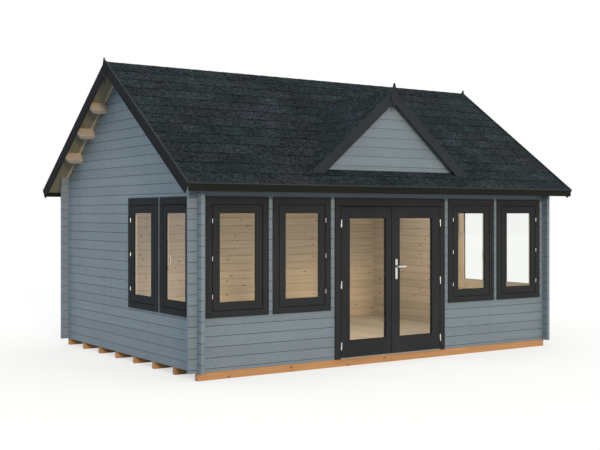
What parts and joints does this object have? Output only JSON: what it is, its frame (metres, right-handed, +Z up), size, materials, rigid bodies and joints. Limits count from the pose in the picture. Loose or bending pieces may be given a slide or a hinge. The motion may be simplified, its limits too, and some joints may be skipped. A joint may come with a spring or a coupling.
{
  "type": "garden house",
  "caption": "Log garden house with a pitched shingle roof, a false dormer over glazed double doors that open outwards, casement windows and notched corner logs on floor bearers.",
  "frame": {"origin": "centre of the footprint at the underside of the floor bearers", "axes": "+X along the ridge to the right seen from the door side, +Z up, the door faces -Y"},
  "size_m": [6.016, 4.402, 3.7743],
  "materials": {
    "grey_blue_wood": "blue-grey painted softwood",
    "anthracite_wood": "anthracite painted softwood",
    "natural_wood": "planed untreated softwood",
    "bearer_wood": "brown treated softwood",
    "roof_felt": "dark mineral felt shingle",
    "glass": "clear",
    "hardware_steel": "satin",
    "threshold_metal": "satin"
  },
  "bodies": {
    "house": {"floor_bearers": "bearer_wood", "floor_boards": "natural_wood", "front_wall_low": "grey_blue_wood", "front_wall_posts": "grey_blue_wood", "front_wall_head": "grey_blue_wood", "back_wall": "grey_blue_wood", "left_wall_rear": "grey_blue_wood", "left_wall_low": "grey_blue_wood", "left_wall_posts": "grey_blue_wood", "left_gable": "grey_blue_wood", "right_wall_rear": "grey_blue_wood", "right_wall_low": "grey_blue_wood", "right_wall_posts": "grey_blue_wood", "right_gable": "grey_blue_wood", "purlins": "natural_wood", "roof_deck_front": "natural_wood", "roof_deck_back": "natural_wood", "roof_shingles_front": "roof_felt", "roof_shingles_back": "roof_felt", "ridge_cap": "roof_felt", "fascia_boards": "anthracite_wood", "barge_boards_front": "anthracite_wood", "barge_boards_back": "anthracite_wood", "gable_finials": "anthracite_wood", "dormer_front": "grey_blue_wood", "dormer_roof_left": "roof_felt", "dormer_roof_right": "roof_felt", "dormer_barge_left": "anthracite_wood", "dormer_barge_right": "anthracite_wood", "dormer_finial": "anthracite_wood", "front_window_frames": "anthracite_wood", "front_window_sashes": "anthracite_wood", "side_window_frames": "anthracite_wood", "side_window_sashes": "anthracite_wood", "window_panes": "glass", "window_hinges": "hardware_steel", "window_grips": "hardware_steel", "door_jambs": "anthracite_wood", "door_head": "anthracite_wood", "door_threshold": "threshold_metal", "door_frame_hinges": "hardware_steel"},
    "left_leaf": {"left_leaf_frame": "anthracite_wood", "left_leaf_pane": "glass", "left_leaf_hinges": "hardware_steel"},
    "right_leaf": {"right_leaf_frame": "anthracite_wood", "right_leaf_pane": "glass", "right_leaf_hinges": "hardware_steel", "handle_plates": "hardware_steel"},
    "lever": {"lever_handle": "hardware_steel"}
  },
  "joints": [
    {"name": "left_leaf_hinge", "type": "hinge", "parent": "house", "child": "left_leaf", "pos_m": [-0.7885, -1.949, 0.985], "axis": [0, 0, -1], "range_deg": [0, 160]},
    {"name": "right_leaf_hinge", "type": "hinge", "parent": "house", "child": "right_leaf", "pos_m": [0.7885, -1.949, 0.985], "axis": [0, 0, 1], "range_deg": [0, 160]},
    {"name": "lever_turn", "type": "hinge", "parent": "right_leaf", "child": "lever", "pos_m": [0.065, -1.94, 1.183], "axis": [0, 1, 0], "range_deg": [0, 40], "stiffness_Nm_per_rad": 2}
  ]
}
